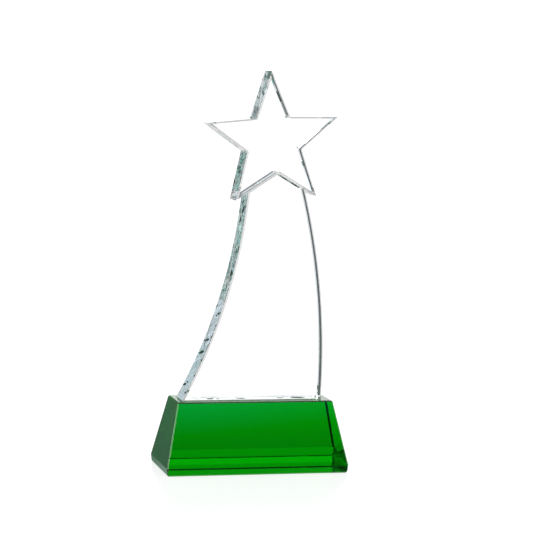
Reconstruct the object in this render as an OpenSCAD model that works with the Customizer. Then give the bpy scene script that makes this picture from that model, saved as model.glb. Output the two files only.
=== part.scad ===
// Star trophy: a clear star bonded onto a clear curved panel, which is bonded onto a
// green block. X runs across the trophy, Y runs from front to back and Z runs up. The
// origin is the middle of the underside of the block, and the front faces -Y.

/* [Base] */
// Width of the base across its lip
base_w = 118; // [110:1:160]
// Depth of the base across its lip
base_d = 55; // [40:1:90]
// Height of the base
base_h = 45; // [25:1:60]
// Width of the flat top of the base
base_top_w = 101; // [98:1:108]
// Depth of the flat top of the base
base_top_d = 32; // [26:1:38]
// Height of the upright lip round the foot of the base
lip_h = 5; // [2:0.5:10]
// How far the underside stands in from the edge of the lip
lip_undercut = 0.5; // [0:0.1:1.5]
// Width of the polished bevel on the edges of the base
base_bevel = 0.8; // [0.4:0.1:1.5]

/* [Clear plates] */
// Thickness of the star and of the panel
plate_t = 20; // [14:1:24]
// Width of the polished bevel on the edges of the star and the panel
plate_bevel = 1; // [0.7:0.1:2]
// Width of the finer bevel on the bonded edges of the panel
bond_bevel = 0.5; // [0.3:0.1:0.6]

/* [Panel] */
// Left end of the foot of the panel, measured from the middle of the base
foot_left = 46.5; // [42:0.5:48]
// Right end of the foot of the panel, measured from the middle of the base
foot_right = 44.5; // [40:0.5:48]
// Place of the left edge at the height of the neck
neck_left = -6.7; // [-9:0.1:-4]
// Place of the right edge at the height of the neck
neck_right = 31.3; // [28:0.1:33]
// Height of the neck, where the panel meets the star
neck_z = 176; // [172:1:178]
// Radius of the hollow left edge
left_edge_r = 340; // [250:5:500]
// Radius of the rounded right edge
right_edge_r = 435; // [300:5:600]

/* [Star] */
// Distance from the middle of the star to its five tips
star_r = 44.5; // [43:0.5:48]
// Distance from the middle of the star to its four open inner corners
star_inner_r = 18.7; // [17:0.1:22]
// Sideways place of the middle of the star
star_x = 9.6; // [8:0.1:11]
// Height of the middle of the star
star_z = 209.8; // [209:0.1:211]
// How far the star leans to the left
star_tilt = 3.5; // [2:0.5:5]
// Depth of the lower corner below the middle of the star
notch_drop = 19.7; // [18:0.1:21]
// How far the lower corner lies to the right of the middle of the star
notch_shift = 2; // [0:0.1:3]
// Radius in the inner corners of the star
corner_r = 1.2; // [0.6:0.1:1.5]

/* [Bonds] */
// Thickness of the cured adhesive
bond_t = 0.2; // [0.1:0.05:0.4]
// How far the blunt peak of the panel stays below the lower corner of the star
peak_drop = 1; // [0.8:0.1:1.5]

/* [Hidden] */
$fn = 180;
reach = 600;                  // longer than the trophy, for shapes that are cut back
bond_reach = 60;              // longer than either side of the star's lower corner
arc_steps = 6;                // sides in each rounded inner corner
tips = 5;
step = 360 / tips;
run_x = (base_w - base_top_w) / 2;
run_y = (base_d - base_top_d) / 2;
rise = base_h - lip_h;
foot_z = base_h + bond_t;
bond_depth = plate_t - 2 * plate_bevel;

// Corners of the star from the top tip round to the right, tips and inner corners in turn
function star_tip(i) = star_place(star_r, 90 - i * step);
function star_place(r, turn) = [star_x, star_z] + r * [cos(turn + star_tilt), sin(turn + star_tilt)];
notch = star_place(norm([notch_shift, notch_drop]), atan2(-notch_drop, notch_shift));
function inner_corner(i) = i == 2 ? notch : star_place(star_inner_r, 90 - (i + 0.5) * step);
left_tip = star_tip(3);
right_tip = star_tip(2);
left_angle = atan2(notch[1] - left_tip[1], notch[0] - left_tip[0]);
right_angle = atan2(right_tip[1] - notch[1], right_tip[0] - notch[0]);

// Middle of a circle through a and b, on the left of the way from a to b
function arc_middle(a, b, r) =
    let (half = (b - a) / 2, away = sqrt(r * r - half * half))
    a + half + away * [-half[1], half[0]] / norm(half);
left_middle = arc_middle([-foot_left, foot_z], [neck_left, neck_z], left_edge_r);
right_middle = arc_middle([foot_right, foot_z], [neck_right, neck_z], right_edge_r);

// Points of the arc of radius r that rounds corner p between the points a and b
function rounded(a, p, b, r) =
    let (u = (a - p) / norm(a - p), v = (b - p) / norm(b - p), half = acos(u * v) / 2)
    let (middle = p + r / sin(half) * (u + v) / norm(u + v))
    let (from = p + r / tan(half) * u - middle, to = p + r / tan(half) * v - middle)
    let (start = atan2(from[1], from[0]), sweep = atan2(from[0] * to[1] - from[1] * to[0], from * to))
    [for (k = [0:arc_steps]) let (at = start + sweep * k / arc_steps) middle + r * [cos(at), sin(at)]];

function star_corner(i) = concat([star_tip(i)],
    rounded(star_tip(i), inner_corner(i), star_tip(i + 1), corner_r));
star_outline = [for (i = [0:tips - 1]) each star_corner(i)];

// The outline drawn in by d along every side, with the corners kept in line
function side_normal(a, b) = [b[1] - a[1], a[0] - b[0]] / norm(b - a);
function drawn_in(points, d) = let (n = len(points))
    [for (i = [0:n - 1])
        let (before = side_normal(points[(i + n - 1) % n], points[i]))
        let (after = side_normal(points[i], points[(i + 1) % n]))
        points[i] + d * (before + after) / (1 + before * after)];

// Shapes drawn flat, X across and Y up, are stood upright with their thickness along Y
module upright() {
    rotate([90, 0, 0]) children();
}

// A plate with a bevel along both faces; every point of its outline is in sight of its middle
module bevelled_plate(outline, middle) {
    n = len(outline);
    half = plate_t / 2;
    face = drawn_in(outline, plate_bevel);
    rings = [face, outline, outline, face];
    levels = [half, half - plate_bevel, plate_bevel - half, -half];
    last = len(rings) - 1;
    ring_points = [for (k = [0:last], p = rings[k]) [p[0], p[1], levels[k]]];
    middles = [[middle[0], middle[1], half], [middle[0], middle[1], -half]];
    front_middle = len(ring_points);
    front = [for (i = [0:n - 1]) [front_middle, i, (i + 1) % n]];
    back = [for (i = [0:n - 1]) [front_middle + 1, last * n + (i + 1) % n, last * n + i]];
    sides = [for (k = [0:last - 1], i = [0:n - 1])
        [k * n + i, (k + 1) * n + i, (k + 1) * n + (i + 1) % n, k * n + (i + 1) % n]];
    polyhedron(concat(ring_points, middles), concat(front, sides, back), convexity = 6);
}

// Everything below the X axis, with a bevel along both long edges
module bevelled_side(bevel) {
    half = plate_t / 2;
    translate([-reach, 0, 0])
        rotate([90, 0, 90])
            linear_extrude(2 * reach)
                polygon([[-reach, -half], [-bevel, -half], [0, bevel - half],
                         [0, half - bevel], [-bevel, half], [-reach, half]]);
}

// A round plate with a bevelled rim
module bevelled_disc(r) {
    half = plate_t / 2;
    rotate_extrude()
        polygon([[0, -half], [r - plate_bevel, -half], [r, plate_bevel - half],
                 [r, half - plate_bevel], [r - plate_bevel, half], [0, half]]);
}

// The round hole whose wall is a hollow edge, flared where it meets both faces
module flared_hole(r) {
    half = plate_t / 2;
    flare = 2 * plate_bevel;
    rotate_extrude()
        polygon([[0, -half - plate_bevel], [r + flare, -half - plate_bevel],
                 [r, plate_bevel - half], [r, half - plate_bevel],
                 [r + flare, half + plate_bevel], [0, half + plate_bevel]]);
}

// Everything between the two curved edges, cut with square edges for the adhesive
module between_edges() {
    difference() {
        translate(right_middle) cylinder(h = bond_depth, r = right_edge_r, center = true);
        translate(left_middle) cylinder(h = plate_t, r = left_edge_r, center = true);
    }
}

// Places a shape under one side of the star's lower corner, one thickness of adhesive away
module under_star(angle) {
    translate(notch) rotate(angle) translate([0, -bond_t, 0]) children();
}

// Outline of the block seen from one side: widths at the foot, the lip and the top
function block_outline(lip, top) =
    let (slope = (lip - top) / 2 / rise)
    let (right = [[lip / 2 - lip_undercut - base_bevel, 0],
                  [lip / 2 - lip_undercut, base_bevel],
                  [lip / 2, lip_h],
                  [top / 2 + slope * base_bevel, base_h - base_bevel],
                  [top / 2 - base_bevel, base_h]])
    concat(right, [for (i = [len(right) - 1:-1:0]) [-right[i][0], right[i][1]]]);

// Takes the bevel off one standing edge of the block; lean is how far the cut leans inwards
module corner_cut(lean) {
    side = 4 * base_bevel;
    translate([(base_w - base_bevel) / 2, (base_d - base_bevel) / 2, lip_h])
        rotate([0, -lean, 45])
            translate([0, -2 * side, -2 * base_h])
                cube([side, 4 * side, 4 * base_h]);
}

// The cut above the lip and the cut below it meet in one line at the height of the lip
module corner_cuts() {
    corner_cut(atan((run_x + run_y) / sqrt(2) / rise));
    corner_cut(-atan(lip_undercut * sqrt(2) / lip_h));
}

module base() {
    color([0.02, 0.5, 0.1, 0.8])
        difference() {
            intersection() {
                rotate([90, 0, 0])
                    linear_extrude(base_d, center = true) polygon(block_outline(base_w, base_top_w));
                rotate([90, 0, 90])
                    linear_extrude(base_w, center = true) polygon(block_outline(base_d, base_top_d));
            }
            for (x = [0, 1], y = [0, 1])
                mirror([x, 0, 0]) mirror([0, y, 0]) corner_cuts();
        }
}

module panel() {
    color([0.8, 0.88, 0.87, 0.4])
        upright()
            difference() {
                intersection() {
                    translate(right_middle) bevelled_disc(right_edge_r);
                    under_star(left_angle) bevelled_side(bond_bevel);
                    under_star(right_angle) bevelled_side(bond_bevel);
                    translate(notch - [0, peak_drop]) bevelled_side(bond_bevel);
                    translate([0, foot_z, 0]) rotate(180) bevelled_side(bond_bevel);
                }
                translate(left_middle) flared_hole(left_edge_r);
            }
}

module star() {
    color([0.84, 0.92, 0.9, 0.4])
        upright() bevelled_plate(star_outline, [star_x, star_z]);
}

module foot_bond() {
    color([0.9, 0.93, 0.8, 0.5])
        upright()
            intersection() {
                between_edges();
                translate([-base_w / 2, base_h, -bond_depth])
                    cube([base_w, bond_t, 2 * bond_depth]);
            }
}

// Adhesive on one side of the star's lower corner; side is -1 for left and 1 for right
module star_bond(angle, side) {
    gap = peak_drop / abs(sin(angle));
    color([0.9, 0.93, 0.8, 0.5])
        upright()
            intersection() {
                between_edges();
                under_star(angle)
                    translate([side < 0 ? -bond_reach : gap, 0, -bond_depth])
                        cube([bond_reach - gap, bond_t, 2 * bond_depth]);
            }
}

module left_star_bond() {
    star_bond(left_angle, -1);
}

module right_star_bond() {
    star_bond(right_angle, 1);
}

base();
panel();
star();
foot_bond();
left_star_bond();
right_star_bond();
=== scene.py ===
"""Star trophy: a clear crystal star and a curved clear panel, bonded onto a green crystal base.

X runs across the trophy, Y from front to back and Z up. Lengths are in metres. The places of the
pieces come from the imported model, and each piece stands for the node of the same name.
"""

import math

import bmesh
import bpy
from bpy.props import FloatProperty, FloatVectorProperty, IntProperty, PointerProperty
from mathutils import Matrix, Vector


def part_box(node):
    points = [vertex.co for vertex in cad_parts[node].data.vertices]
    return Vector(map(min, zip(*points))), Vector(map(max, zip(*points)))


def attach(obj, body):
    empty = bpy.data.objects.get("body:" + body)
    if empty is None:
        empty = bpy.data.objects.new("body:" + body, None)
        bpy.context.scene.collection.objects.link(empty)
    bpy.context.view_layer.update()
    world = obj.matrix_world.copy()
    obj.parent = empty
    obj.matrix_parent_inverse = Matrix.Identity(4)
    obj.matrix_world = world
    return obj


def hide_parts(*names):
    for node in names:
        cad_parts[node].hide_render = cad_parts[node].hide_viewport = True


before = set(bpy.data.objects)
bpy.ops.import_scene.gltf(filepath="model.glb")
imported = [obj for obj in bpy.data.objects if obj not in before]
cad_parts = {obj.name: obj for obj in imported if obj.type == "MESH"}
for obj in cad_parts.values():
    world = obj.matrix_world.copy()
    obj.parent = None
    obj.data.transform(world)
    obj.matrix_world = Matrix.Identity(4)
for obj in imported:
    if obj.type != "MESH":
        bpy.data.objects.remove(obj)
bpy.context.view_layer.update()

bl_info = {
    "name": "Star trophy",
    "version": (1, 0, 0),
    "blender": (4, 5, 0),
    "location": "3D View > Sidebar > Trophy",
    "description": "Builds a crystal star trophy on a green crystal base",
    "category": "Add Mesh",
}

BASE_LOW, BASE_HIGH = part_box("base")
PANEL_LOW, PANEL_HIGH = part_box("panel")
STAR_LOW, STAR_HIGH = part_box("star")

MM = 0.001
STAR_TIPS = 5
TIP_STEP = math.tau / STAR_TIPS
PLATE_HALF = (STAR_HIGH.y - STAR_LOW.y) / 2
FOOT = Vector((0, 0, PANEL_LOW.z))
FILM = PANEL_LOW.z - BASE_HIGH.z
ONE_DEGREE = math.radians(1)
# How far a film of adhesive stays clear of the crystal on either side
TOUCH = 4e-6
# Distance within which a face lies in a plane, and cosine from which two directions are one
SAME_PLANE = 1e-6
SAME_WAY = 0.999
# Distance within which a cut would pull a corner onto its plane
NO_SNAP = 1e-8
FRONT = Vector((0, -1, 0))
BACK = Vector((0, 1, 0))
UP = Vector((0, 0, 1))
RIGHT = Vector((1, 0, 0))

# Material slots of a clear plate
POLISHED, BONDED, SHADED_BEVEL, NARROW, SHADED_SPECK = range(5)
# Share of a face's normal along the depth: the limits for a bevel, and the most for a narrow side
BEVEL_SHARE = (0.3, 0.95)
NARROW_SHARE = 0.1


# ---------------------------------------------------------------- settings


class TrophyBaseSettings(bpy.types.PropertyGroup):
    lip_height: FloatProperty(
        name="Lip height",
        description="Height of the upright lip round the foot of the base",
        default=5 * MM,
        unit="LENGTH",
    )
    top_width: FloatProperty(
        name="Top width", description="Width of the flat top", default=101 * MM, unit="LENGTH"
    )
    top_depth: FloatProperty(
        name="Top depth", description="Depth of the flat top", default=32 * MM, unit="LENGTH"
    )
    undercut: FloatProperty(
        name="Undercut",
        description="How far the underside stands in from the edge of the lip",
        default=0.5 * MM,
        unit="LENGTH",
    )
    bevel: FloatProperty(
        name="Bevel",
        description="Width of the polished bevel on every edge but the one above the lip",
        default=0.8 * MM,
        unit="LENGTH",
    )
    glass_tint: FloatVectorProperty(
        name="Glass colour",
        description="Colour that the green crystal lets through",
        default=(0.0, 0.88, 0.3),
        size=3,
        min=0,
        max=1,
        subtype="COLOR",
    )
    glass_depth: FloatProperty(
        name="Depth of colour",
        description="How quickly the green crystal takes up the other colours, per metre",
        default=200.0,
        min=0,
    )


class TrophyPanelSettings(bpy.types.PropertyGroup):
    foot_left: FloatProperty(
        name="Foot, left", description="Left end of the foot", default=-46.5 * MM, unit="LENGTH"
    )
    foot_right: FloatProperty(
        name="Foot, right", description="Right end of the foot", default=44.5 * MM, unit="LENGTH"
    )
    neck_left: FloatProperty(
        name="Neck, left",
        description="Place of the hollow edge at the height of the neck",
        default=-6.7 * MM,
        unit="LENGTH",
    )
    neck_right: FloatProperty(
        name="Neck, right",
        description="Place of the rounded edge at the height of the neck",
        default=31.3 * MM,
        unit="LENGTH",
    )
    neck_height: FloatProperty(
        name="Neck height",
        description="Height at which the panel meets the star",
        default=176 * MM,
        unit="LENGTH",
    )
    hollow_radius: FloatProperty(
        name="Hollow edge radius",
        description="Radius of the hollow left edge",
        default=340 * MM,
        unit="LENGTH",
    )
    rounded_radius: FloatProperty(
        name="Rounded edge radius",
        description="Radius of the rounded right edge",
        default=435 * MM,
        unit="LENGTH",
    )
    edge_steps: IntProperty(
        name="Edge steps", description="Steps in each curved edge", default=72, min=8, max=256
    )
    bevel: FloatProperty(
        name="Bevel",
        description="Width of the polished bevel on the open edges",
        default=1 * MM,
        unit="LENGTH",
    )
    bond_bevel: FloatProperty(
        name="Bonded bevel",
        description="Width of the finer bevel on the bonded edges",
        default=0.5 * MM,
        unit="LENGTH",
    )
    peak_drop: FloatProperty(
        name="Peak drop",
        description="How far the blunt peak stays below the lower corner of the star",
        default=1 * MM,
        unit="LENGTH",
    )


class TrophyStarSettings(bpy.types.PropertyGroup):
    tilt: FloatProperty(
        name="Lean",
        description="How far the star leans to the left",
        default=math.radians(3.5),
        subtype="ANGLE",
    )
    inner_radius: FloatProperty(
        name="Inner radius",
        description="Distance from the middle to the four open inner corners",
        default=18.7 * MM,
        unit="LENGTH",
    )
    notch_drop: FloatProperty(
        name="Lower corner, depth",
        description="How far the lower corner lies below the middle",
        default=19.7 * MM,
        unit="LENGTH",
    )
    notch_shift: FloatProperty(
        name="Lower corner, shift",
        description="How far the lower corner lies to the right of the middle",
        default=2 * MM,
        unit="LENGTH",
    )
    corner_radius: FloatProperty(
        name="Corner radius",
        description="Radius in the inner corners",
        default=1.2 * MM,
        unit="LENGTH",
    )
    bevel: FloatProperty(
        name="Bevel",
        description="Width of the polished bevel round both faces",
        default=1 * MM,
        unit="LENGTH",
    )


class TrophyStageSettings(bpy.types.PropertyGroup):
    table_radius: FloatProperty(
        name="Table radius", description="Radius of the white table", default=0.3, unit="LENGTH"
    )
    light: FloatProperty(
        name="Light", description="Brightness of the surroundings", default=1.15, min=0
    )
    eye: FloatVectorProperty(
        name="Camera place",
        description="Where the camera stands",
        default=(-318.97 * MM, -1321.01 * MM, 256.47 * MM),
        size=3,
        subtype="XYZ",
        unit="LENGTH",
    )
    heading: FloatProperty(
        name="Camera heading",
        description="How far the camera turns to the right of straight back",
        default=math.radians(13.93),
        subtype="ANGLE",
    )
    pitch: FloatProperty(
        name="Camera pitch",
        description="How far the camera looks up",
        default=math.radians(-5.323),
        subtype="ANGLE",
    )
    roll: FloatProperty(
        name="Camera roll",
        description="How far the camera leans to the left",
        default=math.radians(1.377),
        subtype="ANGLE",
    )
    lens: FloatProperty(
        name="Lens", description="Focal length of the camera in millimetres", default=144.4, min=1
    )


# ---------------------------------------------------------------- geometry of the outline


def star_middle(star):
    """The middle of the star and the distance to its tips, from the box of its node."""
    right_reach = math.sin(TIP_STEP - star.tilt)
    left_reach = math.sin(TIP_STEP + star.tilt)
    radius = (STAR_HIGH.x - STAR_LOW.x) / (right_reach + left_reach)
    x = STAR_HIGH.x - radius * right_reach
    z = STAR_HIGH.z - radius * math.cos(star.tilt)
    return Vector((x, 0, z)), radius


def lean_matrix(star):
    """Turns a star that stands upright at the origin to its lean and moves it to its place."""
    middle, _ = star_middle(star)
    return Matrix.Translation(middle) @ Matrix.Rotation(-star.tilt, 4, "Y")


def joint_sides(star):
    """The lower corner of the star, and for its left and right side the way off the star."""
    _, radius = star_middle(star)
    place = lean_matrix(star)
    corner = place @ Vector((star.notch_shift, 0, -star.notch_drop))
    sides = []
    for turn in (-3 * TIP_STEP, -2 * TIP_STEP):
        tip = place @ Vector((-radius * math.sin(turn), 0, radius * math.cos(turn)))
        along = (tip - corner).normalized()
        out = Vector((-along.z, 0, along.x))
        sides.append(out if out.z > 0 else -out)
    return corner, sides


def arc_middle(low, high, radius):
    """Middle of the circle through two points of an edge, on its left side."""
    half = (high - low) / 2
    away = math.sqrt(radius**2 - half.length_squared)
    return low + half + away * Vector((-half.z, 0, half.x)).normalized()


# ---------------------------------------------------------------- mesh helpers


def edges_in(geometry):
    return [part for part in geometry if isinstance(part, bmesh.types.BMEdge)]


def verts_in(geometry):
    return [part for part in geometry if isinstance(part, bmesh.types.BMVert)]


def all_of(bm):
    return bm.verts[:] + bm.edges[:] + bm.faces[:]


def raise_plate(bm):
    """Gives the flat outline in bm the thickness of the plates, half of it to each side."""
    bmesh.ops.translate(bm, verts=bm.verts, vec=FRONT * PLATE_HALF)
    raised = bmesh.ops.extrude_face_region(bm, geom=bm.faces[:])
    bmesh.ops.translate(bm, verts=verts_in(raised["geom"]), vec=BACK * 2 * PLATE_HALF)
    bmesh.ops.recalc_face_normals(bm, faces=bm.faces)


def bevel_edges(bm, edges, width, segments=1):
    return bmesh.ops.bevel(
        bm,
        geom=edges,
        offset=width,
        offset_type="OFFSET",
        segments=segments,
        profile=0.5,
        affect="EDGES",
        material=-1,
        clamp_overlap=True,
    )


def cut_off(bm, point, outward):
    """Takes away what lies outside a plane and closes the cut with one face."""
    cut = bmesh.ops.bisect_plane(
        bm, geom=all_of(bm), dist=NO_SNAP, plane_co=point, plane_no=outward, clear_outer=True
    )
    bmesh.ops.contextual_create(bm, geom=edges_in(cut["geom_cut"]))


def cut_bevelled(bm, point, outward, bevel):
    """Cuts the plate to a plane and bevels the cut on the front and the back."""
    cut_off(bm, point, outward)
    for face in (FRONT, BACK):
        start = point - outward * bevel + face * PLATE_HALF
        cut_off(bm, start, (outward + face).normalized())


def faces_on(bm, point, normal):
    """The faces that lie in a plane and face along its normal."""
    return [
        face
        for face in bm.faces
        if face.normal.dot(normal) > SAME_WAY
        and abs((face.calc_center_median() - point).dot(normal)) < SAME_PLANE
    ]


def mark_rims(bm):
    """Gives the bevels round the front of a plate their hazy finish with painted shade, and its
    narrow sides their own finish.
    """
    least, most = BEVEL_SHARE
    for face in bm.faces:
        if least < face.normal.dot(FRONT) < most:
            face.material_index = SHADED_BEVEL
        elif abs(face.normal.y) < NARROW_SHARE and face.material_index == POLISHED:
            face.material_index = NARROW


def shade(bm, turn, largest=None):
    """Smooth faces, with sharp edges where they turn by turn degrees or meet a large flat face."""
    for face in bm.faces:
        face.smooth = True
    for edge in bm.edges:
        flat = largest and max(face.calc_area() for face in edge.link_faces) > largest
        edge.smooth = edge.calc_face_angle(0) < math.radians(turn) and not flat


def finished(bm, name, materials):
    """Makes the piece from bm, in place of the node of the same name."""
    mesh = bpy.data.meshes.new(name)
    bm.normal_update()
    bm.to_mesh(mesh)
    bm.free()
    piece = bpy.data.objects.new("crystal_" + name, mesh)
    for material in materials:
        mesh.materials.append(material)
    bpy.context.scene.collection.objects.link(piece)
    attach(piece, "root")
    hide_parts(name)
    return piece


# ---------------------------------------------------------------- finishes


CRYSTAL_IOR = 1.52
ADHESIVE_IOR = 1.47
BONDED_IOR = CRYSTAL_IOR / ADHESIVE_IOR
# A film that lies between two polished faces bends no light
JOINED_IOR = 1.0
CLOUDY_IOR = 1.1
# Colour that gets through, and how quickly the rest is taken up, per metre
CLEAR_TINT = (0.45, 0.80, 0.75)
CLEAR_DEPTH = 1.5
ADHESIVE_TINT = (0.9, 0.9, 0.6)
ADHESIVE_DEPTH = 4.0
# Colour of the surface, and how much of the light goes through it
# Painted shade: a grey that dims the light through the bevels, so that they show as dark outlines
BEVEL_PAINTED_SHADE = (0.50, 0.49, 0.48)
GREEN_BODY = (0.003, 0.85, 0.04)
GREEN_CLARITY = 0.985
# Painted light: a paler, less clear copy of the green crystal for the two ends of the base,
# standing in for how the light falls on them
GREEN_END_LIT_BODY = (0.003, 0.85, 0.15)
GREEN_END_LIT_CLARITY = 0.89
# Whitish body of the film under the foot: partly cloudy adhesive, partly painted reflection of the
# bright joint
CLOUDY_AND_REFLECTION_BODY = (0.92, 0.94, 0.92)
CLOUDY_CLARITY = 0.5
# Least and most roughness, and how fine and detailed its noise is
POLISHED_HAZE = (0.0, 0.0)
BEVEL_HAZE = (0.03, 0.08)
CLOUDY_HAZE = (0.25, 0.5)
HAZE_NOISE = (90, 3)
# Height and length of the waves in a surface
FACE_WAVE = (2e-6, 0.03)
EDGE_WAVE = (5e-5, 0.010)
CLOUDY_WAVE = (2e-5, 0.004)
# Specks on the panel's foot where the adhesive has wetted it, painted in dark green shade: middle,
# half length and half depth in millimetres
SPECKS = (
    (-35.5, 2.2, 1.5),
    (-27.0, 2.4, 3.2),
    (-22.0, 1.0, 2.4),
    (-7.0, 3.2, 2.8),
    (19.0, 2.4, 2.4),
    (30.5, 5.0, 3.6),
)
# How far behind the middle of the plate they lie, in millimetres
SPECK_BACK = 0.8
# Their sides, in eighths of a turn and in the order of the cuts
SPECK_SIDES = (0, 4, 2, 6, 1, 3, 5, 7)
SPECK_NOISE = (500, 2)
# Painted shade: dark greens of the base seen through the wetted foot, on an opaque speck
SPECK_SHADE_TONES = [(0.3, (0.02, 0.08, 0.04)), (0.7, (0.08, 0.18, 0.11))]
SPECK_ROUGHNESS = 0.6
ACRYLIC_BODY = (0.24, 0.24, 0.24)
ACRYLIC_GLOW = 0.75


def new_material(name):
    """A new material with its tree and shader, or the one of that name and no tree."""
    material = bpy.data.materials.get(name)
    if material:
        return material, None, None
    material = bpy.data.materials.new(name)
    material.use_nodes = True
    tree = material.node_tree
    return material, tree, tree.nodes["Principled BSDF"]


def object_noise(tree, scale, detail):
    """Noise fixed to the piece, in its own coordinates."""
    place = tree.nodes.new("ShaderNodeTexCoord")
    noise = tree.nodes.new("ShaderNodeTexNoise")
    noise.inputs["Scale"].default_value = scale
    noise.inputs["Detail"].default_value = detail
    tree.links.new(place.outputs["Object"], noise.inputs["Vector"])
    return noise


def ramp(tree, source, stops):
    """A colour ramp over source, with stops as (place, colour)."""
    node = tree.nodes.new("ShaderNodeValToRGB")
    elements = node.color_ramp.elements
    while len(elements) < len(stops):
        elements.new(1)
    for element, (place, colour) in zip(elements, stops):
        element.position = place
        element.color = (*colour, 1)
    tree.links.new(source, node.inputs["Fac"])
    return node


def grey(value):
    return (value, value, value)


def math_node(tree, operation, first, second):
    node = tree.nodes.new("ShaderNodeMath")
    node.operation = operation
    for socket, value in zip(node.inputs, (first, second)):
        if isinstance(value, (int, float)):
            socket.default_value = value
        else:
            tree.links.new(value, socket)
    return node.outputs["Value"]


def soft_step(tree, value, low, high):
    """0 where value is below low and 1 where it is above high."""
    node = tree.nodes.new("ShaderNodeMapRange")
    node.inputs["From Min"].default_value = low
    node.inputs["From Max"].default_value = high
    tree.links.new(value, node.inputs["Value"])
    return node.outputs["Result"]


def blend(tree, factor, first, second):
    """The colour first where factor is 0 and second where it is 1."""
    node = tree.nodes.new("ShaderNodeMix")
    node.data_type = "RGBA"
    for name, value in (("Factor", factor), ("A", first), ("B", second)):
        socket = [part for part in node.inputs if part.name == name and part.enabled][0]
        if isinstance(value, tuple):
            socket.default_value = value
        else:
            tree.links.new(value, socket)
    return [part for part in node.outputs if part.enabled][0]


def polish(tree, shader, haze, wave):
    """Hand polish: faint haze that comes and goes, and a surface that isn't quite flat."""
    least, most = haze
    shader.inputs["Roughness"].default_value = most
    if most > least:
        noise = object_noise(tree, *HAZE_NOISE)
        tones = ramp(tree, noise.outputs["Fac"], [(0.35, grey(least)), (0.75, grey(most))])
        tree.links.new(tones.outputs["Color"], shader.inputs["Roughness"])
    height, length = wave
    waves = object_noise(tree, 1 / length, 1)
    bump = tree.nodes.new("ShaderNodeBump")
    bump.inputs["Strength"].default_value = 1
    bump.inputs["Distance"].default_value = height
    tree.links.new(waves.outputs["Fac"], bump.inputs["Height"])
    tree.links.new(bump.outputs["Normal"], shader.inputs["Normal"])


def absorb(tree, colour, density):
    """Colours light by the depth of crystal that it passes."""
    volume = tree.nodes.new("ShaderNodeVolumeAbsorption")
    volume.inputs["Color"].default_value = (*colour, 1)
    volume.inputs["Density"].default_value = density
    output = tree.nodes["Material Output"]
    tree.links.new(volume.outputs["Volume"], output.inputs["Volume"])


def crystal(
    name, ior, tint, depth, haze=POLISHED_HAZE, body=(1, 1, 1), clarity=1, wave=FACE_WAVE
):
    """Polished crystal that takes its colour from its depth."""
    material, tree, shader = new_material(name)
    if tree is None:
        return material
    shader.inputs["Base Color"].default_value = (*body, 1)
    shader.inputs["Transmission Weight"].default_value = clarity
    shader.inputs["IOR"].default_value = ior
    polish(tree, shader, haze, wave)
    absorb(tree, tint, depth)
    return material


def clear_crystal(part="", ior=CRYSTAL_IOR, **finish):
    return crystal("clear crystal" + part, ior, CLEAR_TINT, CLEAR_DEPTH, **finish)


def clear_finishes():
    """The finishes of a clear plate, in the order of their slots."""
    return [
        clear_crystal(),
        clear_crystal(", bonded", ior=BONDED_IOR),
        # The bevels get painted shade: their grey body dims the light through them
        clear_crystal(", bevels", haze=BEVEL_HAZE, body=BEVEL_PAINTED_SHADE),
        clear_crystal(", edges", wave=EDGE_WAVE),
    ]


def painted_shade_speck():
    """Where the adhesive has wetted the foot: an opaque dark green, painted shade that stands in
    for the dim green base seen through it.
    """
    material, tree, shader = new_material("cured adhesive, specks")
    if tree is None:
        return material
    noise = object_noise(tree, *SPECK_NOISE)
    tones = ramp(tree, noise.outputs["Fac"], SPECK_SHADE_TONES)
    tree.links.new(tones.outputs["Color"], shader.inputs["Base Color"])
    shader.inputs["Roughness"].default_value = SPECK_ROUGHNESS
    shader.inputs["Specular IOR Level"].default_value = 0
    return material


def green_crystal(base, part, body, clarity):
    tint = base.glass_tint
    depth = base.glass_depth
    return crystal("green crystal" + part, CRYSTAL_IOR, tint, depth, body=body, clarity=clarity)


def green_finishes(base):
    """The finishes of the base; its two ends get a paler, less clear copy of the green crystal,
    painted light that stands in for how the light falls on them.
    """
    return [
        green_crystal(base, "", GREEN_BODY, GREEN_CLARITY),
        green_crystal(base, ", ends", GREEN_END_LIT_BODY, GREEN_END_LIT_CLARITY),
    ]


def adhesive(part="", ior=ADHESIVE_IOR):
    return crystal("cured adhesive" + part, ior, ADHESIVE_TINT, ADHESIVE_DEPTH)


def cloudy_adhesive_and_reflection():
    """Adhesive under the foot, cured a little cloudy; its whitish body is also painted reflection,
    standing in for the bright reflection at the joint.
    """
    material, tree, shader = new_material("cured adhesive, cloudy")
    if tree is None:
        return material
    shader.inputs["Base Color"].default_value = (*CLOUDY_AND_REFLECTION_BODY, 1)
    shader.inputs["Transmission Weight"].default_value = CLOUDY_CLARITY
    shader.inputs["IOR"].default_value = CLOUDY_IOR
    polish(tree, shader, CLOUDY_HAZE, CLOUDY_WAVE)
    return material


def white_acrylic():
    """The table top, lit from below as well, so that shadows on it stay pale."""
    material, tree, shader = new_material("white acrylic")
    if tree is None:
        return material
    shader.inputs["Base Color"].default_value = (*ACRYLIC_BODY, 1)
    shader.inputs["Roughness"].default_value = 0.3
    shader.inputs["Specular IOR Level"].default_value = 0.1
    shader.inputs["Emission Color"].default_value = (1, 1, 1, 1)
    shader.inputs["Emission Strength"].default_value = ACRYLIC_GLOW
    return material


# ---------------------------------------------------------------- surroundings

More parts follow.
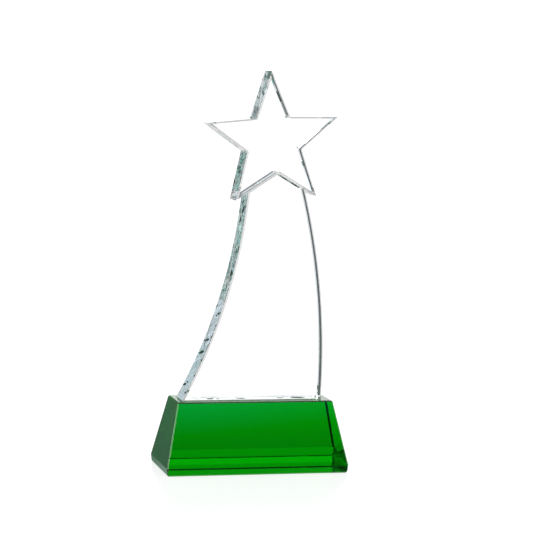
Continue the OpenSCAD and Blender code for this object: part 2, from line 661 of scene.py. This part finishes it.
# Tones all round, as (share of a turn, colour). 0.25 is the front, 0.5 the right, 0.75 the back
# and 0 and 1 the left.
TABLE_NEAR = [
    (0.00, grey(0.70)),
    (0.24, grey(0.60)),
    (0.26, (0.05, 0.06, 0.06)),
    (0.315, (0.05, 0.06, 0.06)),
    (0.335, grey(0.50)),
    (0.50, grey(0.60)),
    (0.70, (0.66, 0.65, 0.63)),
    (0.745, grey(0.75)),
    (0.765, grey(0.90)),
    (0.80, grey(0.90)),
    (0.86, grey(0.60)),
    (0.90, grey(0.50)),
]
TABLE_TOP = [
    (0.00, (0.62, 0.64, 0.66)),
    (0.10, (0.90, 0.93, 0.93)),
    (0.24, (0.72, 0.78, 0.87)),
    (0.26, (0.05, 0.06, 0.06)),
    (0.315, (0.05, 0.06, 0.06)),
    (0.335, grey(0.75)),
    (0.50, (0.60, 0.58, 0.57)),
    (0.70, (0.66, 0.65, 0.63)),
    (0.745, (0.66, 0.65, 0.63)),
    (0.755, (0.60, 0.70, 0.68)),
    (0.775, (0.60, 0.70, 0.68)),
    (0.785, grey(0.12)),
    (0.80, grey(0.12)),
    (0.81, grey(0.55)),
    (0.90, grey(0.50)),
]
TABLE_EDGE = [
    (0.00, grey(0.20)),
    (0.05, grey(0.30)),
    (0.09, (0.75, 0.84, 0.87)),
    (0.20, (0.87, 0.99, 1.11)),
    (0.30, (0.93, 1.08, 1.11)),
    (0.42, (0.99, 0.90, 0.90)),
    (0.49, grey(0.55)),
    (0.50, grey(0.90)),
    (0.555, grey(0.90)),
    (0.565, grey(0.35)),
    (0.65, grey(0.35)),
    (0.67, (0.66, 0.63, 0.62)),
    (0.735, (0.66, 0.63, 0.62)),
    (0.75, (0.08, 0.11, 0.10)),
    (0.80, grey(0.03)),
    (0.81, grey(0.45)),
    (0.86, grey(0.45)),
    (0.88, (0.50, 0.56, 0.60)),
    (0.93, (0.45, 0.50, 0.55)),
    (0.96, grey(0.20)),
]
WALLS = [
    (0.00, grey(0.18)),
    (0.006, grey(0.18)),
    (0.01, grey(3.0)),
    (0.036, grey(3.0)),
    (0.05, (0.75, 0.78, 0.83)),
    (0.14, (0.81, 0.78, 0.84)),
    (0.30, (0.75, 0.84, 0.99)),
    (0.42, grey(0.90)),
    (0.49, grey(0.50)),
    (0.50, grey(0.90)),
    (0.555, grey(0.90)),
    (0.565, grey(0.40)),
    (0.65, grey(0.40)),
    (0.67, grey(1.1)),
    (0.722, grey(1.1)),
    (0.732, (0.12, 0.16, 0.16)),
    (0.797, (0.12, 0.13, 0.13)),
    (0.803, grey(0.75)),
    (0.86, grey(0.75)),
    (0.88, (0.50, 0.56, 0.60)),
    (0.92, (0.50, 0.56, 0.60)),
    (0.94, grey(0.18)),
]
SHADE = [
    (0.00, grey(0.20)),
    (0.006, grey(0.20)),
    (0.01, grey(3.0)),
    (0.036, grey(3.0)),
    (0.05, (0.75, 0.78, 0.83)),
    (0.24, (0.68, 0.78, 0.90)),
    (0.26, grey(0.02)),
    (0.315, grey(0.02)),
    (0.335, grey(0.75)),
    (0.50, grey(0.60)),
    (0.65, grey(0.60)),
    (0.67, grey(1.5)),
    (0.722, grey(1.5)),
    (0.732, grey(0.12)),
    (0.765, grey(0.12)),
    (0.785, grey(0.60)),
    (0.84, grey(0.60)),
    (0.90, grey(0.35)),
    (0.94, grey(0.20)),
]
HIGH = [
    (0.00, grey(0.30)),
    (0.006, grey(0.30)),
    (0.01, grey(3.0)),
    (0.036, grey(3.0)),
    (0.05, grey(0.70)),
    (0.10, (0.75, 0.83, 0.90)),
    (0.24, (0.68, 0.78, 0.90)),
    (0.26, grey(0.02)),
    (0.28, (0.02, 0.10, 0.15)),
    (0.286, (0.03, 0.50, 0.80)),
    (0.292, (0.03, 0.40, 0.60)),
    (0.31, (0.02, 0.25, 0.36)),
    (0.33, (0.83, 0.93, 0.90)),
    (0.50, grey(0.60)),
    (0.65, grey(0.60)),
    (0.67, grey(1.5)),
    (0.722, grey(1.5)),
    (0.732, grey(0.12)),
    (0.765, grey(0.12)),
    (0.785, grey(0.60)),
    (0.84, grey(0.60)),
    (0.90, grey(0.35)),
    (0.94, grey(0.30)),
]
CEILING = [
    (0.00, grey(0.55)),
    (0.10, (0.90, 1.00, 1.08)),
    (0.24, (1.00, 1.01, 1.19)),
    (0.33, (1.00, 1.15, 1.12)),
    (0.50, (0.79, 0.72, 0.72)),
    (0.66, grey(0.75)),
    (0.84, grey(0.70)),
    (0.90, grey(0.50)),
]
# How white it looks straight through the crystal, by the way that it is looked through
THROUGH = [
    (0.00, grey(0.92)),
    (0.10, grey(0.86)),
    (0.40, grey(0.86)),
    (0.50, grey(0.92)),
    (0.58, grey(1.0)),
    (0.92, grey(1.0)),
]
# Rings above the near part of the table, each with the rise at which it starts
RINGS = [
    (TABLE_TOP, -0.44, -0.40),
    (TABLE_EDGE, -0.23, -0.21),
    (WALLS, -0.13, -0.11),
    (SHADE, 0.20, 0.24),
    (HIGH, 0.366, 0.382),
    (CEILING, 0.48, 0.52),
]
# A ray less deep than this has only gone into and out of one piece
STRAIGHT_THROUGH = 3.5
# What is seen straight through crystal dims towards the near part of the table
DIM_TABLE = (-0.50, -0.42)
DIM_WHITE = (0.75, 0.75, 0.75, 1)
WHITE = (1, 1, 1, 1)
# How often light may bounce inside the crystal
MANY_BOUNCES = 256
# The table is a hair below the trophy, so that the two faces don't fight
TABLE_GAP = 0.02 * MM
FAR_AWAY = 20


# ---------------------------------------------------------------- operators

# Edges of the base that turn by more than this are bevelled
SHARP_TURN = math.radians(30)
# Least share of its normal along the width for a face at an end of the base
END_SHARE = 0.9
# Degrees below which neighbouring faces look like one curve
BASE_CURVE = 1
PANEL_CURVE = 12
STAR_CURVE = 20
# Faces of the star that are larger than this stay flat to their edges
STAR_FLAT = 20 * MM**2
# Length by which the blank of the panel is cut back at each end
BLANK_SPARE = 12 * MM
# Inner corners of the star lie within this share of its radius
INNER_SHARE = 0.7
CORNER_STEPS = 8
# Back bevels by the lower corner that also get the painted shade of the front ones: how near they
# are, and the least share of their normal off the left side
BACK_BEVEL_REACH = 25 * MM
BACK_BEVEL_SHARE = 0.6


class TROPHY_OT_base(bpy.types.Operator):
    """Builds the green crystal base with its lip and polished bevels"""

    bl_idname = "trophy.base"
    bl_label = "Green base"

    def execute(self, context):
        settings = context.scene.trophy_base
        size = BASE_HIGH - BASE_LOW
        bm = bmesh.new()
        bmesh.ops.create_cube(bm, size=1)
        bmesh.ops.scale(bm, vec=size, verts=bm.verts)
        bmesh.ops.translate(bm, vec=(BASE_LOW + BASE_HIGH) / 2, verts=bm.verts)
        lip = BASE_LOW + UP * settings.lip_height
        bmesh.ops.bisect_plane(bm, geom=all_of(bm), plane_co=lip, plane_no=UP)
        top = [v for v in bm.verts if v.co.z > BASE_HIGH.z - SAME_PLANE]
        bottom = [v for v in bm.verts if v.co.z < BASE_LOW.z + SAME_PLANE]
        slope = (settings.top_width / size.x, settings.top_depth / size.y, 1)
        bmesh.ops.scale(bm, vec=slope, verts=top)
        inward = 2 * settings.undercut
        bmesh.ops.scale(bm, vec=(1 - inward / size.x, 1 - inward / size.y, 1), verts=bottom)
        edges = [edge for edge in bm.edges if edge.calc_face_angle() > SHARP_TURN]
        bevel_edges(bm, edges, settings.bevel)
        bm.normal_update()
        for face in bm.faces:
            # The ends of the base get the paler copy of the green crystal, painted light
            face.material_index = int(abs(face.normal.x) > END_SHARE)
        shade(bm, BASE_CURVE)
        finished(bm, "base", green_finishes(settings))
        return {"FINISHED"}


class TROPHY_OT_panel(bpy.types.Operator):
    """Builds the clear panel with its hollow and its rounded edge, cut to a peak"""

    bl_idname = "trophy.panel"
    bl_label = "Clear panel"

    def execute(self, context):
        settings = context.scene.trophy_panel
        corner, sides = joint_sides(context.scene.trophy_star)
        bm = bmesh.new()
        self.blank(bm, settings)
        for side in sides:
            cut_bevelled(bm, corner - side * FILM, side, settings.bond_bevel)
        cut_bevelled(bm, corner - UP * settings.peak_drop, UP, settings.bond_bevel)
        cut_bevelled(bm, FOOT, -UP, settings.bond_bevel)
        bmesh.ops.recalc_face_normals(bm, faces=bm.faces)
        bm.normal_update()
        for side in sides:
            for face in faces_on(bm, corner - side * FILM, side):
                face.material_index = BONDED
        shade(bm, PANEL_CURVE)
        mark_rims(bm)
        for x, half_length, half_depth in SPECKS:
            middle = FOOT + Vector((x, SPECK_BACK, 0)) * MM
            self.speck(bm, middle, half_length * MM, half_depth * MM)
        finished(bm, "panel", [*clear_finishes(), painted_shade_speck()])
        return {"FINISHED"}

    @staticmethod
    def speck(bm, middle, half_length, half_depth):
        """Cuts an eight-sided speck out of the foot and gives it its finish of painted shade."""

        def foot_round_middle():
            return [
                face
                for face in faces_on(bm, FOOT, -UP)
                if bmesh.geometry.intersect_face_point(face, middle)
            ]

        for side in SPECK_SIDES:
            angle = side * math.tau / len(SPECK_SIDES)
            outward = Vector((math.cos(angle), math.sin(angle), 0))
            reach = math.hypot(half_length * outward.x, half_depth * outward.y)
            foot = foot_round_middle()
            bmesh.ops.bisect_plane(
                bm,
                geom=foot + list(foot[0].edges) + list(foot[0].verts),
                dist=NO_SNAP,
                plane_co=middle + outward * reach,
                plane_no=outward,
            )
            bm.normal_update()
        for face in foot_round_middle():
            face.material_index = SHADED_SPECK

    @staticmethod
    def blank(bm, settings):
        """A plate with both curved edges bevelled, longer than the panel at both ends."""
        foot_z = PANEL_LOW.z
        ends = []
        for foot_x, neck_x, radius in (
            (settings.foot_left, settings.neck_left, settings.hollow_radius),
            (settings.foot_right, settings.neck_right, settings.rounded_radius),
        ):
            foot = Vector((foot_x, 0, foot_z))
            neck = Vector((neck_x, 0, settings.neck_height))
            middle = arc_middle(foot, neck, radius)
            low = math.asin((foot_z - BLANK_SPARE - middle.z) / radius)
            high = math.asin((PANEL_HIGH.z + BLANK_SPARE - middle.z) / radius)
            start = bm.verts.new(middle + radius * Vector((math.cos(low), 0, math.sin(low))))
            spun = bmesh.ops.spin(
                bm,
                geom=[start],
                cent=middle,
                axis=FRONT,
                angle=high - low,
                steps=settings.edge_steps,
            )
            ends.append((start, verts_in(spun["geom_last"])[0]))
        for left, right in zip(*ends):
            bm.edges.new((left, right))
        bmesh.ops.contextual_create(bm, geom=bm.edges[:])
        raise_plate(bm)
        rims = []
        for edge in bm.edges:
            along = edge.verts[1].co - edge.verts[0].co
            if abs(along.z) > abs(along.x) and abs(along.y) < SAME_PLANE:
                rims.append(edge)
        bevel_edges(bm, rims, settings.bevel)


class TROPHY_OT_star(bpy.types.Operator):
    """Builds the clear five-pointed star"""

    bl_idname = "trophy.star"
    bl_label = "Clear star"

    def execute(self, context):
        settings = context.scene.trophy_star
        _, radius = star_middle(settings)
        bm = bmesh.new()
        ring = bmesh.ops.create_circle(bm, cap_ends=True, radius=radius, segments=2 * STAR_TIPS)
        bmesh.ops.rotate(bm, verts=bm.verts, matrix=Matrix.Rotation(math.pi / 2, 3, "X"))
        inner = ring["verts"][1::2]
        bmesh.ops.scale(bm, vec=Vector.Fill(3, settings.inner_radius / radius), verts=inner)
        notch = min(inner, key=lambda vert: vert.co.z)
        notch.co = (settings.notch_shift, 0, -settings.notch_drop)
        raise_plate(bm)
        corners = []
        for edge in bm.edges:
            low, high = edge.verts[0].co, edge.verts[1].co
            near = Vector((low.x, 0, low.z)).length < INNER_SHARE * radius
            if near and abs(high.y - low.y) > PLATE_HALF:
                corners.append(edge)
        self.round_corners(bm, corners, settings.corner_radius)
        rims = []
        for edge in bm.edges:
            if abs(edge.verts[0].co.y + edge.verts[1].co.y) > 2 * PLATE_HALF - SAME_PLANE:
                rims.append(edge)
        bevel_edges(bm, rims, settings.bevel)
        bmesh.ops.transform(bm, matrix=lean_matrix(settings), verts=bm.verts)
        bmesh.ops.recalc_face_normals(bm, faces=bm.faces)
        self.mark_bonds(bm, context)
        shade(bm, STAR_CURVE, largest=STAR_FLAT)
        mark_rims(bm)
        finished(bm, "star", clear_finishes())
        return {"FINISHED"}

    @staticmethod
    def round_corners(bm, corners, radius):
        """Rounds the inner corners; the offset of a bevel is its distance from the edge."""
        for edge in corners:
            offset = radius * math.tan(edge.calc_face_angle() / 2)
            bevel_edges(bm, [edge], offset, segments=CORNER_STEPS)
            bm.normal_update()

    @staticmethod
    def mark_bonds(bm, context):
        """Sets off the parts of the star's lower sides that the panel is bonded to.

        Close to the lower corner, the back bevel of the left side gets the finish of the front
        bevels, with its painted shade.
        """
        corner, sides = joint_sides(context.scene.trophy_star)
        panel = context.scene.trophy_panel
        limits = ((panel.neck_left, -RIGHT), (panel.neck_right, RIGHT))
        bm.normal_update()
        for side, (limit, outward) in zip(sides, limits):
            faces = faces_on(bm, corner, -side)
            edges = dict.fromkeys(edge for face in faces for edge in face.edges)
            verts = dict.fromkeys(vert for face in faces for vert in face.verts)
            bmesh.ops.bisect_plane(
                bm,
                geom=faces + list(edges) + list(verts),
                plane_co=RIGHT * limit,
                plane_no=outward,
            )
            bm.normal_update()
            for face in faces_on(bm, corner, -side):
                if (face.calc_center_median().x - limit) * outward.x < 0:
                    face.material_index = BONDED
        for face in bm.faces:
            near = (face.calc_center_median() - corner).length < BACK_BEVEL_REACH
            back = face.normal.dot(BACK) > BEVEL_SHARE[0]
            if near and back and face.normal.dot(-sides[0]) > BACK_BEVEL_SHARE:
                face.material_index = SHADED_BEVEL


class TROPHY_OT_bonds(bpy.types.Operator):
    """Builds the three films of cured adhesive"""

    bl_idname = "trophy.bonds"
    bl_label = "Adhesive films"

    def execute(self, context):
        panel = bpy.data.objects.get("crystal_panel")
        if panel is None:
            raise RuntimeError("Build the clear panel before its adhesive")
        corner, sides = joint_sides(context.scene.trophy_star)
        joined = adhesive(", joined", ior=JOINED_IOR)
        places = (
            ("foot_bond", FOOT, -UP, cloudy_adhesive_and_reflection()),
            ("left_star_bond", corner - sides[0] * FILM, sides[0], joined),
            ("right_star_bond", corner - sides[1] * FILM, sides[1], joined),
        )
        for name, point, normal, finish in places:
            self.film(panel, name, point, normal, finish)
        return {"FINISHED"}

    @staticmethod
    def film(panel, name, point, normal, finish):
        """A film as wide as the bonded face, on the side that normal points to."""
        bm = bmesh.new()
        bm.from_mesh(panel.data)
        keep = set(faces_on(bm, point, normal))
        others = [face for face in bm.faces if face not in keep]
        bmesh.ops.delete(bm, geom=others, context="FACES")
        bmesh.ops.dissolve_limit(
            bm, angle_limit=ONE_DEGREE, verts=bm.verts, edges=bm.edges, delimit=set()
        )
        bmesh.ops.translate(bm, verts=bm.verts, vec=normal * TOUCH)
        raised = bmesh.ops.extrude_face_region(bm, geom=bm.faces[:])
        bmesh.ops.translate(bm, verts=verts_in(raised["geom"]), vec=normal * (FILM - 2 * TOUCH))
        bmesh.ops.recalc_face_normals(bm, faces=bm.faces)
        bm.normal_update()
        for face in bm.faces:
            face.material_index = int(abs(face.normal.dot(normal)) > SAME_WAY)
            face.smooth = False
        finished(bm, name, [adhesive(), finish])


class TROPHY_OT_stage(bpy.types.Operator):
    """Builds the white table, the lit surroundings and the camera"""

    bl_idname = "trophy.stage"
    bl_label = "Stage"

    def execute(self, context):
        settings = context.scene.trophy_stage
        self.table(settings)
        self.surroundings(context, settings)
        self.camera(context, settings)
        context.scene.view_settings.view_transform = "Standard"
        context.scene.cycles.max_bounces = MANY_BOUNCES
        context.scene.cycles.glossy_bounces = MANY_BOUNCES
        context.scene.cycles.transmission_bounces = MANY_BOUNCES
        return {"FINISHED"}

    @staticmethod
    def table(settings):
        bm = bmesh.new()
        bmesh.ops.create_circle(bm, cap_ends=True, radius=settings.table_radius, segments=96)
        bmesh.ops.translate(bm, verts=bm.verts, vec=-UP * TABLE_GAP)
        mesh = bpy.data.meshes.new("table")
        bm.to_mesh(mesh)
        bm.free()
        table = bpy.data.objects.new("table", mesh)
        bpy.context.scene.collection.objects.link(table)
        table.visible_glossy = False
        table.visible_transmission = False
        mesh.materials.append(white_acrylic())

    @staticmethod
    def surroundings(context, settings):
        """A table and a dim room with a lit backdrop and lamps, in rings of tones.

        They show in reflections, edges and bevels. Past the trophy and in the light on the table
        it is plain white, and straight through the crystal it is close to white.
        """
        world = bpy.data.worlds.new("studio")
        context.scene.world = world
        world.use_nodes = True
        tree = world.node_tree
        background = tree.nodes["Background"]
        place = tree.nodes.new("ShaderNodeTexCoord")
        around = tree.nodes.new("ShaderNodeTexGradient")
        around.gradient_type = "RADIAL"
        tree.links.new(place.outputs["Generated"], around.inputs["Vector"])
        axes = tree.nodes.new("ShaderNodeSeparateXYZ")
        tree.links.new(place.outputs["Generated"], axes.inputs["Vector"])
        room = ramp(tree, around.outputs["Fac"], TABLE_NEAR).outputs["Color"]
        for tones, low, high in RINGS:
            ring = ramp(tree, around.outputs["Fac"], tones)
            above = soft_step(tree, axes.outputs["Z"], low, high)
            room = blend(tree, above, room, ring.outputs["Color"])
        path = tree.nodes.new("ShaderNodeLightPath")
        plain = math_node(tree, "LESS_THAN", path.outputs["Ray Depth"], STRAIGHT_THROUGH)
        for kind in ("Is Transmission Ray", "Is Singular Ray"):
            plain = math_node(tree, "MULTIPLY", plain, path.outputs[kind])
        for kind in ("Is Camera Ray", "Is Diffuse Ray"):
            plain = math_node(tree, "MAXIMUM", plain, path.outputs[kind])
        near = soft_step(tree, axes.outputs["Z"], *DIM_TABLE)
        clear = ramp(tree, around.outputs["Fac"], THROUGH).outputs["Color"]
        white = blend(tree, near, DIM_WHITE, clear)
        white = blend(tree, path.outputs["Is Transmission Ray"], WHITE, white)
        light = blend(tree, plain, room, white)
        tree.links.new(light, background.inputs["Color"])
        background.inputs["Strength"].default_value = settings.light

    @staticmethod
    def camera(context, settings):
        data = bpy.data.cameras.new("camera")
        data.lens = settings.lens
        data.clip_end = FAR_AWAY
        camera = bpy.data.objects.new("camera", data)
        context.scene.collection.objects.link(camera)
        level = Vector((math.cos(settings.heading), -math.sin(settings.heading), 0))
        ahead = Vector((math.sin(settings.heading), math.cos(settings.heading), 0))
        ahead = ahead * math.cos(settings.pitch) + UP * math.sin(settings.pitch)
        upward = level.cross(ahead)
        right = level * math.cos(settings.roll) + upward * math.sin(settings.roll)
        top = upward * math.cos(settings.roll) - level * math.sin(settings.roll)
        turn = Matrix((right, top, -ahead)).transposed()
        camera.matrix_world = Matrix.Translation(settings.eye) @ turn.to_4x4()
        context.scene.camera = camera


class TROPHY_PT_sidebar(bpy.types.Panel):
    bl_idname = "TROPHY_PT_sidebar"
    bl_label = "Star trophy"
    bl_space_type = "VIEW_3D"
    bl_region_type = "UI"
    bl_category = "Trophy"

    def draw(self, context):
        for operator, group in BUILD_ORDER:
            box = self.layout.box()
            box.operator(operator.bl_idname)
            if group:
                settings = getattr(context.scene, group)
                for name in settings.__annotations__:
                    box.prop(settings, name)


SETTINGS = {
    "trophy_base": TrophyBaseSettings,
    "trophy_panel": TrophyPanelSettings,
    "trophy_star": TrophyStarSettings,
    "trophy_stage": TrophyStageSettings,
}
BUILD_ORDER = (
    (TROPHY_OT_stage, "trophy_stage"),
    (TROPHY_OT_base, "trophy_base"),
    (TROPHY_OT_panel, "trophy_panel"),
    (TROPHY_OT_star, "trophy_star"),
    (TROPHY_OT_bonds, None),
)


def register():
    for name, group in SETTINGS.items():
        bpy.utils.register_class(group)
        setattr(bpy.types.Scene, name, PointerProperty(type=group))
    for operator, _ in BUILD_ORDER:
        bpy.utils.register_class(operator)
    bpy.utils.register_class(TROPHY_PT_sidebar)


def unregister():
    bpy.utils.unregister_class(TROPHY_PT_sidebar)
    for operator, _ in reversed(BUILD_ORDER):
        bpy.utils.unregister_class(operator)
    for name, group in SETTINGS.items():
        delattr(bpy.types.Scene, name)
        bpy.utils.unregister_class(group)


def main():
    register()
    bpy.ops.trophy.stage()
    bpy.ops.trophy.base()
    bpy.ops.trophy.panel()
    bpy.ops.trophy.star()
    bpy.ops.trophy.bonds()


if __name__ == "__main__":
    main()
